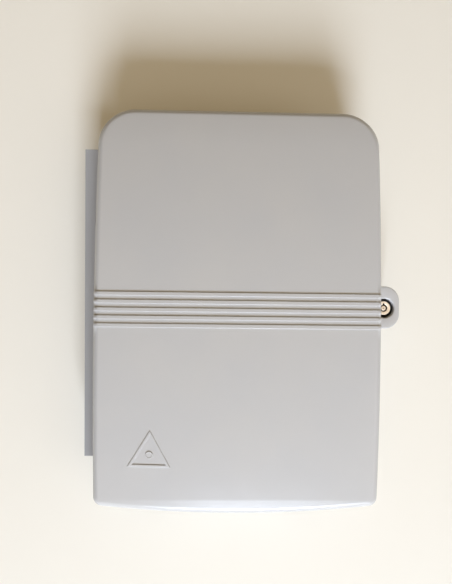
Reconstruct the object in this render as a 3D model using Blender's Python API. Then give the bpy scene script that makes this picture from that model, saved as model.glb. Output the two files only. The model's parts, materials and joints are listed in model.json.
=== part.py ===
"""Wall box that terminates fibre-optic cable, with a hinged and locked front cover.

The origin is the middle of the flat back, +Z is up and the cover faces -Y. Sizes are in
millimetres. A depth is measured forward from the wall, so that y = -depth, and a place is
written (x, depth, z).
"""
import math

import bmesh
import bpy
from mathutils import Matrix, Vector

MM = 0.001
GAP = 0.3                    # left between neighbours that would touch
SIDES = 18                   # flats on a round piece, a multiple of 6 so that hexagons match

# Outline and front of the cover
WIDTH = 236.0
HEIGHT = 337.0
CROWN = 80.0                 # depth of the arched front at its middle
ARCH_DROP = 10.0             # how much lower the front is at its top and bottom
BOTTOM_BOW = 7.0             # how far the bottom edge's middle hangs below its ends
TOP_CORNER = 31.0
BOTTOM_CORNER = 8.0
EDGE_RADIUS = 6.0
COVER_WALL = 2.4
PARTING = 46.0               # depth of the cover's rim
HALF_WIDTH = WIDTH / 2
HALF_HEIGHT = HEIGHT / 2

# Band of ribs across the cover
BAND_Z = 0.5
RIB_COUNT = 5
RIB_PITCH = 6.4
RIB_WIDTH = 3.5
RIB_HEIGHT = 0.9
RIB_FLANK = 0.5              # width of the slope at each side of a rib

# Raised triangle low on the cover
MARK_X = -71.3
MARK_Z = -117.7
MARK_RADIUS = 20.3           # from its middle to a corner
MARK_LINE = 1.6
MARK_HEIGHT = 0.5
MARK_DOT = 3.2

# Base
BASE_INSET = 1.0             # base wall, in from the cover's outline
BASE_INNER = 3.5
FLOOR = 2.5
TONGUE_OUTER = 4.8
TONGUE_INNER = 6.4
TONGUE_DEPTH = 50.0
BASE_RIM = PARTING - GAP

# Hinge, along the left edge
HINGE_X = -121.1
HINGE_DEPTH = 48.0
KNUCKLE_ZS = (70.0, -70.0)
KNUCKLE_HALF = 12.0
KNUCKLE_RADIUS = 2.6
BOSS_HALF = 20.4
PIN_RADIUS = 1.3
PIN_HOLE = PIN_RADIUS + GAP
PIN_HALF = 19.5
RAIL_LEFT_HIGH = -133.8      # the rail's outer edge leans a little outward at its top
RAIL_LEFT_LOW = -130.2
RAIL_RIGHT = -118.5
RAIL_DEPTH = 49.0
RAIL_BACK = 22.0
RAIL_LOW = -127.0
RAIL_HIGH = 139.0
PEG_ZS = (80.0, 5.0, -70.0)  # pegs that hold the rail to the base
PEG_DEPTH = 33.0
PEG_RADIUS = 2.5
PEG_HEAD = 4.0

# Lock, in the ear on the right edge
LOCK_X = 129.9
LOCK_Z = 3.4
EAR_Z = 4.0
EAR_RIGHT = 142.9
EAR_HALF = 18.5
EAR_CORNER = 12.7
EAR_DEPTH = 50.0
WELL_RADIUS = 8.4
WELL_FLOOR = 43.0
BARREL_RADIUS = 6.0
CAM_REACH = 11.0

# Cable entries, through the bottom wall
GLAND_X = 70.0
GLAND_DEPTH = 20.0
PAD_LOW = -167.8             # flat outer face of a gland's pad
PAD_HIGH = -159.5
GROMMET_DEPTH = 30.0
GROMMET_HOLE = 8.0

# Cable clamps and strength member, above the entries
CLAMP_Z = -135.0
CLAMP_HALF = 17.0
CLAMP_LENGTH = 8.0
CLAMP_BORE = 8.0
CLAMP_SCREW = 13.8           # from the clamp's middle to each screw
POST_DEPTH = 14.5

# Adapter panel
PANEL_Z = -90.0
PANEL_HALF = 102.0
PANEL_THICK = 2.0
PANEL_BACK = 5.3
PANEL_FRONT = 44.0
PANEL_SCREW_X = 95.0
PANEL_SCREW_Z = -81.0
ADAPTER_COUNT = 8
ADAPTER_PITCH = 23.0
ADAPTER_DEPTH = 26.0

# Slack spool, under the splice tray
SPOOL_Z = 72.0
SPOOL_RADIUS = 40.0

# Splice tray
TRAY_Z = 68.0
TRAY_HALF_X = 90.0
TRAY_HALF_Z = 62.0
TRAY_BACK = 31.0
TRAY_FRONT = 41.0
TRAY_WALL = 1.8
TRAY_CORNER = 8.0
PIVOT_Z = 2.0
PIVOT_DEPTH = 38.0
BRACKET_X = 60.0
BRACKET_BACK = 8.3
BRACKET_SCREW_X = 40.0
REST_X = 80.0                # posts that the tray lies on
REST_Z = 122.0

WALL_HOLES = ((96.0, 145.0), (-96.0, 145.0), (96.0, -146.0), (-96.0, -146.0))
WALL_HOLE_RADIUS = 2.5

# A piece's own axis, along which it is turned or extruded, in the box's frame
AXES = {
    "up": Matrix.Identity(4),
    "forward": Matrix(((1, 0, 0, 0), (0, 0, -1, 0), (0, 1, 0, 0), (0, 0, 0, 1))),
    "right": Matrix(((0, 0, 1, 0), (1, 0, 0, 0), (0, 1, 0, 0), (0, 0, 0, 1))),
}


# ---------------------------------------------------------------- closed rows of points
def ring(radius, t, sides=SIDES):
    angles = [2 * math.pi * i / sides for i in range(sides)]
    return [(radius * math.cos(a), radius * math.sin(a), t) for a in angles]


def hexagon(across, t, sides=SIDES):
    """A hexagon across its flats, with as many points as a ring has."""
    points = []
    for i in range(sides):
        angle = 2 * math.pi * i / sides
        radius = across / 2 / math.cos(angle % (math.pi / 3) - math.pi / 6)
        points.append((radius * math.cos(angle), radius * math.sin(angle), t))
    return points


def rectangle(half_u, half_v, t):
    return [(half_u, half_v, t), (-half_u, half_v, t), (-half_u, -half_v, t), (half_u, -half_v, t)]


def rounded_rectangle(half_u, half_v, corner, t, steps=4):
    points = []
    for quarter in range(4):
        side_u = 1 if quarter in (0, 3) else -1
        side_v = 1 if quarter in (0, 1) else -1
        for step in range(steps + 1):
            angle = math.pi / 2 * (quarter + step / steps)
            u = side_u * (half_u - corner) + corner * math.cos(angle)
            v = side_v * (half_v - corner) + corner * math.sin(angle)
            points.append((u, v, t))
    return points


def bottom_edge(x):
    return -HALF_HEIGHT + BOTTOM_BOW * (x / HALF_WIDTH) ** 2


def bottom_slope(x):
    return math.atan(2 * BOTTOM_BOW * x / HALF_WIDTH ** 2)


def half_outline(inset, side_zs=()):
    """Right half of the cover's outline moved in by inset, as (x, z) from top to bottom."""
    points = []
    top_x = HALF_WIDTH - TOP_CORNER
    top_z = HALF_HEIGHT - TOP_CORNER
    for step in range(8):
        angle = math.pi / 2 * (1 - step / 7)
        radius = TOP_CORNER - inset
        points.append((top_x + radius * math.cos(angle), top_z + radius * math.sin(angle)))
    points += [(HALF_WIDTH - inset, z) for z in side_zs]
    low_x = HALF_WIDTH - BOTTOM_CORNER
    slope = bottom_slope(low_x)
    tangent_x = low_x + BOTTOM_CORNER * math.sin(slope)
    low_z = bottom_edge(tangent_x) + BOTTOM_CORNER * math.cos(slope)
    for step in range(6):
        angle = -(math.pi / 2 - slope) * step / 5
        radius = BOTTOM_CORNER - inset
        points.append((low_x + radius * math.cos(angle), low_z + radius * math.sin(angle)))
    for share in (0.8, 0.6, 0.4, 0.2, 0.07):
        x = tangent_x * share
        slope = bottom_slope(x)
        points.append((x - inset * math.sin(slope), bottom_edge(x) + inset * math.cos(slope)))
    return points


def outline(inset, depth_at, side_zs=()):
    """The whole outline as a row of points, each at the depth that depth_at gives for its z."""
    right = [(x, z, depth_at(z)) for x, z in half_outline(inset, side_zs)]
    left = [(-x, z, depth) for x, z, depth in reversed(right)]
    return right + left


def ear_outline(inset, left_x, depth):
    """The lock ear: square where it meets the box at left_x, and round at its outer corners."""
    half = EAR_HALF - inset
    corner = EAR_CORNER - inset
    points = [(left_x, EAR_Z + half, depth)]
    for side in (1, -1):
        for step in range(6):
            angle = math.pi / 2 * (1 - step / 5 if side > 0 else -step / 5)
            x = EAR_RIGHT - inset - corner + corner * math.cos(angle)
            z = EAR_Z + side * (half - corner) + corner * math.sin(angle)
            points.append((x, z, depth))
    points.append((left_x, EAR_Z - half, depth))
    return points


# ---------------------------------------------------------------- solids
def flat_cap(shape, row):
    shape.faces.new(row)


def ladder_cap(shape, row):
    """Close a row that is its own mirror image with level strips from side to side."""
    last = len(row) - 1
    for i in range(len(row) // 2 - 1):
        shape.faces.new((row[i], row[i + 1], row[last - i - 1], row[last - i]))


def loft(rows, closed=False, cap=flat_cap):
    """A skin over rows of points: capped at both ends, or closed on itself as a ring is."""
    shape = bmesh.new()
    made = [[shape.verts.new(point) for point in row] for row in rows]
    following = made[1:] + made[:1] if closed else made[1:]
    for row, above in zip(made, following):
        for i in range(len(row)):
            j = (i + 1) % len(row)
            shape.faces.new((row[i], row[j], above[j], above[i]))
    if not closed:
        cap(shape, made[0])
        cap(shape, made[-1])
    bmesh.ops.recalc_face_normals(shape, faces=shape.faces)
    return shape


def place(x, depth, z):
    return Vector((x, -depth, z)) * MM


def solid(shape, axis="forward", at=(0, 0, 0)):
    mesh = bpy.data.meshes.new("solid")
    shape.to_mesh(mesh)
    shape.free()
    mesh.transform(Matrix.Scale(MM, 4) @ AXES[axis])
    result = bpy.data.objects.new("solid", mesh)
    result.location = place(*at)
    bpy.context.collection.objects.link(result)
    return result


def block(xs, depths, zs):
    (x0, x1), (d0, d1), (z0, z1) = xs, depths, zs
    middle = ((x0 + x1) / 2, d0, (z0 + z1) / 2)
    half_x = (x1 - x0) / 2
    half_z = (z1 - z0) / 2
    return solid(loft([rectangle(half_x, half_z, 0), rectangle(half_x, half_z, d1 - d0)]), at=middle)


def rod(radius, start, end, axis, at, sides=SIDES):
    return solid(loft([ring(radius, start, sides), ring(radius, end, sides)]), axis, at)


def combine(target, tool, operation):
    """Apply a Boolean to target and drop the tool."""
    modifier = target.modifiers.new("combine", "BOOLEAN")
    modifier.operation = operation
    modifier.solver = "EXACT"
    modifier.object = tool
    bpy.context.view_layer.update()
    graph = bpy.context.evaluated_depsgraph_get()
    mesh = bpy.data.meshes.new_from_object(target.evaluated_get(graph))
    target.modifiers.remove(modifier)
    target.data = mesh
    bpy.data.objects.remove(tool)


def add(target, *tools):
    for tool in tools:
        combine(target, tool, "UNION")


def cut(target, *tools):
    for tool in tools:
        combine(target, tool, "DIFFERENCE")


# ---------------------------------------------------------------- names, materials, bodies
def material(name, color, roughness, metallic=0.0, alpha=1.0):
    result = bpy.data.materials.new(name)
    result.use_nodes = True
    shader = result.node_tree.nodes["Principled BSDF"]
    shader.inputs["Base Color"].default_value = (*color, 1.0)
    shader.inputs["Roughness"].default_value = roughness
    shader.inputs["Metallic"].default_value = metallic
    shader.inputs["Alpha"].default_value = alpha
    result.diffuse_color = (*color, alpha)
    return result


def pivot(name, at):
    """An empty on a joint's axis, which carries the pieces that move."""
    empty = bpy.data.objects.new(name, None)
    empty.location = place(*at)
    bpy.context.collection.objects.link(empty)
    return empty


def finish(piece, name, slot, carrier=None, smooth_degrees=30):
    piece.name = name
    piece.data.name = name
    piece.data.materials.clear()
    piece.data.materials.append(MATERIALS[slot])
    piece.data.shade_smooth()
    piece.data.set_sharp_from_angle(angle=math.radians(smooth_degrees))
    if carrier:
        piece.parent = carrier
        piece.matrix_parent_inverse = Matrix.Translation(-carrier.location)
    return piece


def another(piece, name, at, turned=0.0):
    """A copy that shares its mesh."""
    result = bpy.data.objects.new(name, piece.data)
    result.location = place(*at)
    result.rotation_euler.z = turned
    bpy.context.collection.objects.link(result)
    return result


# ---------------------------------------------------------------- cover
def arch(z):
    return CROWN - ARCH_DROP * (z / HALF_HEIGHT) ** 2


def rib_zs():
    """The four heights of each rib's section, from top to bottom of the band."""
    heights = []
    for i in range(RIB_COUNT):
        middle = BAND_Z + RIB_PITCH * ((RIB_COUNT - 1) / 2 - i)
        for offset in (RIB_WIDTH / 2, RIB_WIDTH / 2 - RIB_FLANK):
            heights.append(middle + offset)
        for offset in (RIB_WIDTH / 2 - RIB_FLANK, RIB_WIDTH / 2):
            heights.append(middle - offset)
    return heights


def ribbed(z):
    """Depth of the front, with the ribs."""
    for i in range(RIB_COUNT):
        middle = BAND_Z + RIB_PITCH * ((RIB_COUNT - 1) / 2 - i)
        rise = (RIB_WIDTH / 2 - abs(z - middle)) / RIB_FLANK
        if rise > 0:
            return arch(z) + RIB_HEIGHT * min(1.0, rise)
    return arch(z)


def cover_heights():
    """Heights at which the cover's sides have a row, from top to bottom."""
    band = rib_zs()
    high = HALF_HEIGHT - TOP_CORNER
    low = -HALF_HEIGHT + 2.5 * BOTTOM_CORNER
    above = [high + (band[0] - high) * i / 6 for i in range(1, 6)]
    below = [band[-1] + (low - band[-1]) * i / 7 for i in range(1, 7)]
    return above + band + below


def skin_rows(start, wall, radius, front):
    """Rows from the rim, up the side and over the rounded edge, wall being the side's inset."""
    heights = cover_heights()
    rows = [outline(wall, lambda z: start, heights)]
    steps = 4
    for step in range(steps + 1):
        angle = math.pi / 2 * step / steps
        inset = wall + radius * (1 - math.cos(angle))
        drop = radius * (1 - math.sin(angle))
        rows.append(outline(inset, lambda z: front(z) - drop, heights))
    return rows


def triangle(radius, depth_offset, sides=3):
    """A triangle that lies on the arched front, standing on one side."""
    points = []
    for i in range(sides):
        angle = math.pi / 2 + 2 * math.pi * i / sides
        x = MARK_X + radius * math.cos(angle)
        z = MARK_Z + radius * math.sin(angle)
        points.append((x, z, arch(z) + depth_offset))
    return points


def raised_mark(target):
    inner = MARK_RADIUS - 2 * MARK_LINE
    rows = [triangle(MARK_RADIUS, -1.0), triangle(MARK_RADIUS, MARK_HEIGHT)]
    rows += [triangle(inner, MARK_HEIGHT), triangle(inner, -1.0)]
    add(target, solid(loft(rows, closed=True)))
    dot = [triangle(MARK_DOT, offset, 16) for offset in (-1.0, MARK_HEIGHT)]
    add(target, solid(loft(dot)))


def cover_shell():
    inner_radius = EDGE_RADIUS - COVER_WALL
    outside = skin_rows(PARTING, 0.0, EDGE_RADIUS, ribbed)
    inside = skin_rows(PARTING, COVER_WALL, inner_radius, lambda z: arch(z) - COVER_WALL)
    cover = solid(loft(list(reversed(outside)) + inside, cap=ladder_cap))
    raised_mark(cover)

    plate_left = HALF_WIDTH - 1.2
    ear = [ear_outline(0.0, plate_left, PARTING), ear_outline(0.0, plate_left, EAR_DEPTH - 0.8)]
    ear.append(ear_outline(0.8, plate_left, EAR_DEPTH))
    add(cover, solid(loft(ear)))
    lock_at = (LOCK_X, 0, LOCK_Z)
    add(cover, rod(WELL_RADIUS + 1.2, WELL_FLOOR - 2, PARTING + 1, "forward", lock_at, 32))
    well = [ring(WELL_RADIUS, WELL_FLOOR, 32), ring(WELL_RADIUS, EAR_DEPTH - 0.8, 32)]
    well += [ring(WELL_RADIUS + 0.8, EAR_DEPTH, 32), ring(WELL_RADIUS + 0.8, EAR_DEPTH + 1, 32)]
    cut(cover, solid(loft(well), at=lock_at))
    cut(cover, rod(BARREL_RADIUS + GAP, WELL_FLOOR - 3, WELL_FLOOR + 1, "forward", lock_at))

    hinge_at = (HINGE_X, HINGE_DEPTH, 0)
    for z in KNUCKLE_ZS:
        web = block((HINGE_X, -HALF_WIDTH + 1), (PARTING, PARTING + 4), (z - 11.5, z + 11.5))
        knuckle = rod(KNUCKLE_RADIUS, z - KNUCKLE_HALF, z + KNUCKLE_HALF, "up", hinge_at)
        add(cover, web, knuckle)
        cut(cover, rod(PIN_HOLE, z - KNUCKLE_HALF - 1, z + KNUCKLE_HALF + 1, "up", hinge_at, 16))
    return cover


# ---------------------------------------------------------------- base
def rail_outline(inset, depth):
    right = RAIL_RIGHT - inset
    high = RAIL_HIGH - inset
    low = RAIL_LOW + inset
    return [(right, high, depth), (RAIL_LEFT_HIGH + inset, high, depth),
            (RAIL_LEFT_LOW + inset, low, depth), (right, low, depth)]


def hinge_rail():
    """The flat rail left of the cover: a channel open to the wall, with pockets for knuckles.

    Pegs hold it: they pass through the base's wall and end in a head inside it.
    """
    wall_x = BASE_INSET - HALF_WIDTH
    rail = solid(loft([rail_outline(0.0, depth) for depth in (RAIL_BACK, RAIL_DEPTH)]))
    add(rail, block((RAIL_RIGHT - 1, wall_x - GAP), (RAIL_BACK + 1, BASE_RIM - 0.4),
                    (RAIL_LOW + 0.5, RAIL_HIGH - 0.5)))
    cut(rail, solid(loft([rail_outline(2.4, depth) for depth in (RAIL_BACK - 1, RAIL_DEPTH - 7.5)])))
    for z in KNUCKLE_ZS:
        hinge_at = (HINGE_X, HINGE_DEPTH, 0)
        add(rail, rod(KNUCKLE_RADIUS, z - BOSS_HALF, z + BOSS_HALF, "up", hinge_at))
        half = KNUCKLE_HALF + 0.4
        cut(rail, block((HINGE_X - KNUCKLE_RADIUS - GAP, wall_x), (HINGE_DEPTH - 3.2, 60),
                        (z - half, z + half)))
        hole = PIN_HALF + GAP
        cut(rail, rod(PIN_HOLE, z - hole, z + hole, "up", hinge_at, 16))
    head_x = BASE_INNER - HALF_WIDTH + GAP
    for z in PEG_ZS:
        peg = [ring(PEG_RADIUS, RAIL_RIGHT - 1), ring(PEG_RADIUS, head_x)]
        peg += [ring(PEG_HEAD, head_x), ring(PEG_HEAD - 1, head_x + 1.4)]
        add(rail, solid(loft(peg), "right", (0, PEG_DEPTH, z)))
    return rail


def lock_pocket(base):
    """The ear behind the cover's ear, with the strike that the cam turns behind."""
    wall = 1.6
    outside = [ear_outline(2.5, HALF_WIDTH - 2.1, 12), ear_outline(0.5, HALF_WIDTH - 2.1, 14)]
    outside.append(ear_outline(0.5, HALF_WIDTH - 2.1, BASE_RIM))
    add(base, solid(loft(outside)))
    pocket_left = HALF_WIDTH - 0.6
    pocket = [ear_outline(0.5 + wall, pocket_left, depth) for depth in (14.6, 60)]
    cut(base, solid(loft(pocket)))
    add(base, block((HALF_WIDTH - 1.5, LOCK_X - 8.5), (30, 33), (LOCK_Z - 8, LOCK_Z + 8)))


def floor_post(base, radius, x, z, top, hole=0.0, hole_depth=3.5):
    add(base, rod(radius, FLOOR - 0.6, top, "forward", (x, 0, z), 16))
    if hole:
        cut(base, rod(hole, hole_depth, top + 1, "forward", (x, 0, z), 12))


def base_shell():
    profile = [(BASE_INSET + 1, 0), (BASE_INSET, 1), (BASE_INSET, BASE_RIM), (TONGUE_OUTER, BASE_RIM)]
    profile += [(TONGUE_OUTER, TONGUE_DEPTH), (TONGUE_INNER, TONGUE_DEPTH), (TONGUE_INNER, 42.5)]
    profile += [(BASE_INNER, 39.5), (BASE_INNER, FLOOR)]
    rows = [outline(inset, lambda z: depth) for inset, depth in profile]
    base = solid(loft(rows))
    lock_pocket(base)
    for z in PEG_ZS:
        cut(base, rod(PEG_RADIUS + GAP, -HALF_WIDTH, 5 - HALF_WIDTH, "right", (0, PEG_DEPTH, z)))

    for side in (-1, 1):
        gland_at = (side * GLAND_X, GLAND_DEPTH, 0)
        add(base, rod(15.5, PAD_LOW, PAD_HIGH, "up", gland_at, 32))
        cut(base, rod(10.3, PAD_LOW - 3, PAD_HIGH + 3, "up", gland_at))
        post_x = side * GLAND_X
        half = CLAMP_HALF + 0.5
        add(base, block((post_x - half, post_x + half), (FLOOR - 0.6, POST_DEPTH),
                        (CLAMP_Z - CLAMP_LENGTH / 2 - 0.5, CLAMP_Z + CLAMP_LENGTH / 2 + 0.5)))
        for screw in (-1, 1):
            at = (post_x + screw * CLAMP_SCREW, 0, CLAMP_Z)
            cut(base, rod(1.8, 6, POST_DEPTH + 1, "forward", at, 12))
        floor_post(base, 4.5, side * PANEL_SCREW_X, PANEL_SCREW_Z, PANEL_BACK - GAP, 1.8)
        floor_post(base, 4.5, side * BRACKET_SCREW_X, PIVOT_Z, BRACKET_BACK - GAP, 1.8)
        floor_post(base, 4.0, side * REST_X, REST_Z, TRAY_BACK - GAP)
    floor_post(base, 7.5, 0, CLAMP_Z, 10, 3.4)
    cut(base, rod(GROMMET_HOLE, -175, -158, "up", (0, GROMMET_DEPTH, 0)))
    for x, z in WALL_HOLES:
        add(base, rod(6.0, FLOOR - 0.6, 7, "forward", (x, 0, z), 16))
        cut(base, rod(WALL_HOLE_RADIUS, -1, 8, "forward", (x, 0, z), 16))
    return base


def rim_gasket():
    outer = 3.1
    inner = TONGUE_OUTER - GAP
    rows = [outline(outer, lambda z: PARTING), outline(outer + 0.3, lambda z: PARTING + 3)]
    rows += [outline(inner - 0.3, lambda z: PARTING + 3), outline(inner, lambda z: PARTING)]
    return solid(loft(rows, closed=True))


# ---------------------------------------------------------------- lock
def lock_barrel():
    bore = 4.0
    flange = 7.7
    front = 47.6
    mouth = 3.2
    rows = [ring(bore, 31), ring(BARREL_RADIUS, 31), ring(BARREL_RADIUS, WELL_FLOOR + GAP)]
    rows += [ring(flange, WELL_FLOOR + GAP), ring(flange, WELL_FLOOR + 1.5)]
    rows += [ring(BARREL_RADIUS, WELL_FLOOR + 1.5), ring(BARREL_RADIUS, front - 0.4)]
    rows += [ring(BARREL_RADIUS - 0.4, front), ring(mouth, front), ring(mouth, 43), ring(bore, 43)]
    barrel = solid(loft(rows, closed=True), at=(LOCK_X, 0, LOCK_Z))
    cut(barrel, block((LOCK_X - 0.8, LOCK_X + 0.8), (WELL_FLOOR + 2, 49), (LOCK_Z + 2.5, LOCK_Z + 4.4)))
    return barrel


def lock_plug():
    rows = [ring(1.7, 34), ring(1.7, 28.8), ring(3.0, 28.8), ring(3.0, 30.7), ring(3.7, 30.7)]
    rows += [ring(3.7, 42), ring(2.2, 42), ring(2.2, 46.9), ring(1.9, 47.2)]
    return solid(loft(rows), at=(LOCK_X, 0, LOCK_Z))


def lock_cam():
    cam = rod(5.5, 26.5, 28.5, "forward", (LOCK_X, 0, LOCK_Z))
    add(cam, block((LOCK_X - 4, LOCK_X + 4), (26.5, 28.5), (LOCK_Z - CAM_REACH, LOCK_Z)))
    cut(cam, rod(1.7, 25, 30, "forward", (LOCK_X, 0, LOCK_Z)))
    return cam


def screw(head_radius, head_height, shank_radius, length, sides=12):
    """A pan-head screw with a round socket; its head stands on t = 0 and points forward."""
    socket = 0.45 * head_radius
    rows = [ring(socket, 0.4 * head_height, sides), ring(socket, head_height, sides)]
    rows += [ring(0.8 * head_radius, head_height, sides), ring(head_radius, 0.5 * head_height, sides)]
    rows += [ring(head_radius, 0, sides), ring(shank_radius, 0, sides), ring(shank_radius, -length, sides)]
    return loft(rows)


def make_lock(cover_axis, lock_axis):
    at = (LOCK_X, 0, LOCK_Z)
    finish(lock_barrel(), "lock_barrel", "brass", cover_axis)
    seal = [ring(6.3, 44.8), ring(8.1, 44.8), ring(8.1, 46.3), ring(7.9, 46.6), ring(6.3, 46.6)]
    finish(solid(loft(seal, closed=True), at=at), "lock_seal", "rubber", cover_axis)
    nut = [ring(6.35, 36.7), hexagon(17, 36.7), hexagon(17, 40.7), ring(6.35, 40.7)]
    finish(solid(loft(nut, closed=True), at=at), "lock_nut", "steel", cover_axis)
    finish(lock_plug(), "lock_plug", "brass", lock_axis)
    finish(lock_cam(), "lock_cam", "steel", lock_axis)
    cam_screw = solid(loft([ring(2.9, 24.2), ring(2.9, 26.2), ring(1.35, 26.2), ring(1.35, 33)]), at=at)
    finish(cam_screw, "cam_screw", "steel", lock_axis)


# ---------------------------------------------------------------- cable entries
def gland_body():
    """Drawn from the pad's outer face, as are the gland's other pieces."""
    rows = [ring(6.1, -9.5), ring(8.9, -9.5), ring(8.9, -4.2), hexagon(24, -4.2)]
    rows += [hexagon(24, -GAP), ring(9.9, -GAP), ring(9.9, 14.8), ring(6.1, 14.8)]
    return loft(rows, closed=True)


def gland_nut():
    rows = [ring(9.2, -4.5), hexagon(23, -4.5), hexagon(23, -10.5), ring(10.6, -12.2)]
    rows += [ring(9.0, -14.2), ring(6.6, -14.2), ring(6.6, -12.4), ring(9.2, -10.6)]
    return loft(rows, closed=True)


def gland_blank():
    rows = [ring(5.8, 6.8), ring(5.8, -9.8), ring(7.6, -9.8), ring(7.6, -10.6)]
    rows += [ring(6.2, -11.8), ring(6.2, -13.6)]
    return loft(rows)


def gland_locknut():
    low = PAD_HIGH - PAD_LOW + GAP
    high = low + 4.6
    return loft([ring(10.2, low), hexagon(27, low), hexagon(27, high), ring(10.2, high)], closed=True)


def drop_grommet():
    """Drawn from the outer face of the bottom wall's middle."""
    rows = [ring(4.0, -2.2), ring(7.0, -3.5), ring(10.4, -3.5), ring(11.0, -2.9)]
    rows += [ring(11.0, -0.5), ring(7.6, -0.5), ring(7.6, 2.9), ring(9.6, 2.9)]
    rows += [ring(9.0, 5.2), ring(6.0, 5.2), ring(4.0, 3.8)]
    return solid(loft(rows), "up", (0, GROMMET_DEPTH, BASE_INSET - HALF_HEIGHT))


def make_entries():
    shapes = {"gland_body": (gland_body, "black"), "gland_nut": (gland_nut, "black"),
              "gland_blank": (gland_blank, "rubber"), "gland_locknut": (gland_locknut, "black")}
    for name, (shape, slot) in shapes.items():
        left = solid(shape(), "up", (-GLAND_X, GLAND_DEPTH, PAD_LOW))
        finish(left, name + "_left", slot)
        another(left, name + "_right", (GLAND_X, GLAND_DEPTH, PAD_LOW))
    finish(drop_grommet(), "drop_grommet", "rubber")


# ---------------------------------------------------------------- clamps and strength member
def cable_clamp():
    """A saddle, drawn in x and depth and extruded up, with a screw through each foot."""
    foot = POST_DEPTH + GAP
    middle = GLAND_DEPTH
    bore = CLAMP_BORE
    outer = bore + 2.5
    arc = [math.pi * i / 12 for i in range(13)]
    section = [(-CLAMP_HALF, foot), (-bore, foot)]
    section += [(-bore * math.cos(a), middle + bore * math.sin(a)) for a in arc]
    section += [(bore, foot), (CLAMP_HALF, foot), (CLAMP_HALF, foot + 2.2), (outer, foot + 2.2)]
    section += [(outer * math.cos(a), middle + outer * math.sin(a)) for a in arc]
    section += [(-outer, foot + 2.2), (-CLAMP_HALF, foot + 2.2)]
    half = CLAMP_LENGTH / 2
    rows = [[(x, -depth, t) for x, depth in section] for t in (-half, half)]
    clamp = solid(loft(rows), "up")
    for side in (-1, 1):
        cut(clamp, rod(1.8, foot - 2, foot + 5, "forward", (side * CLAMP_SCREW, 0, 0), 12))
    return clamp


def make_clamps():
    left = finish(cable_clamp(), "cable_clamp_left", "grey_inner")
    left.location = place(-GLAND_X, 0, CLAMP_Z)
    another(left, "cable_clamp_right", (GLAND_X, 0, CLAMP_Z))
    head_depth = POST_DEPTH + GAP + 2.2 + GAP
    places = [(side * GLAND_X + end * CLAMP_SCREW, head_depth, CLAMP_Z) for side in (-1, 1) for end in (-1, 1)]
    first = finish(solid(screw(3.1, 2.0, 1.4, 9.5), at=places[0]), "clamp_screw_1", "steel")
    for number, at in enumerate(places[1:], 2):
        another(first, f"clamp_screw_{number}", at)

    at = (0, 0, CLAMP_Z)
    stud = [ring(3.0, 4.5), ring(3.0, 10.3), ring(7.0, 10.3), ring(7.0, 12.0), ring(3.0, 12.0)]
    stud += [ring(3.0, 26.5), ring(2.4, 27.2)]
    finish(solid(loft(stud), at=at), "earth_stud", "steel")
    plate = solid(loft([rectangle(13, 7, 12.3), rectangle(13, 7, 14.3)]), at=at)
    cut(plate, rod(3.4, 11, 16, "forward", at))
    finish(plate, "strength_clamp", "steel")
    nut = [ring(3.35, 14.6), hexagon(10, 14.6), hexagon(10, 19.6), ring(3.35, 19.6)]
    finish(solid(loft(nut, closed=True), at=at), "earth_nut", "steel")


# ---------------------------------------------------------------- adapters
def adapter_xs():
    middle = (ADAPTER_COUNT - 1) / 2
    return [ADAPTER_PITCH * (i - middle) for i in range(ADAPTER_COUNT)]


def adapter_panel():
    half = PANEL_THICK / 2
    panel = block((-PANEL_HALF, PANEL_HALF), (PANEL_BACK, PANEL_FRONT), (PANEL_Z - half, PANEL_Z + half))
    for side in (-1, 1):
        foot = sorted((side * (PANEL_HALF - 0.5), side * (PANEL_SCREW_X - 7)))
        add(panel, block(foot, (PANEL_BACK, PANEL_BACK + 2), (PANEL_Z, PANEL_Z + 17)))
        cut(panel, rod(1.8, 4, 9, "forward", (side * PANEL_SCREW_X, 0, PANEL_SCREW_Z), 12))
    for x in adapter_xs():
        cut(panel, block((x - 6.8, x + 6.8), (ADAPTER_DEPTH - 5, ADAPTER_DEPTH + 5), (PANEL_Z - 2, PANEL_Z + 2)))
    return panel


def sc_adapter():
    """A through adapter with a flange, a port at each end and a ferrule sleeve between them."""
    rows = [rectangle(1.2, 1.2, -6), rectangle(1.2, 1.2, -3), rectangle(4.8, 3.7, -3)]
    rows += [rectangle(4.8, 3.7, -13), rectangle(6.5, 4.7, -13), rectangle(6.5, 4.7, 1.3)]
    rows += [rectangle(10.8, 5.3, 1.3), rectangle(10.8, 5.3, 3.3), rectangle(6.5, 4.7, 3.3)]
    rows += [rectangle(6.5, 4.7, 13), rectangle(4.8, 3.7, 13), rectangle(4.8, 3.7, 3)]
    rows += [rectangle(1.2, 1.2, 3), rectangle(1.2, 1.2, 6)]
    return loft(rows)


def dust_cap():
    rows = [rectangle(4.4, 3.3, -6.5), rectangle(4.4, 3.3, -13.3), rectangle(6.2, 4.4, -13.3)]
    rows += [rectangle(6.2, 4.4, -14.8), rectangle(3.6, 2.6, -14.8), rectangle(3.2, 2.2, -22)]
    return loft(rows)


def make_adapters():
    finish(adapter_panel(), "adapter_panel", "grey_inner")
    places = [(x, ADAPTER_DEPTH, PANEL_Z) for x in adapter_xs()]
    for name, shape, slot in (("sc_adapter", sc_adapter, "green"), ("dust_cap", dust_cap, "clear_cap")):
        first = finish(solid(shape(), "up", places[0]), name + "_1", slot)
        for number, at in enumerate(places[1:], 2):
            another(first, f"{name}_{number}", at)
    head = PANEL_BACK + 2 + GAP
    left = solid(screw(3.1, 2.0, 1.4, 3.6), at=(-PANEL_SCREW_X, head, PANEL_SCREW_Z))
    finish(left, "panel_screw_left", "steel")
    another(left, "panel_screw_right", (PANEL_SCREW_X, head, PANEL_SCREW_Z))


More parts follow.
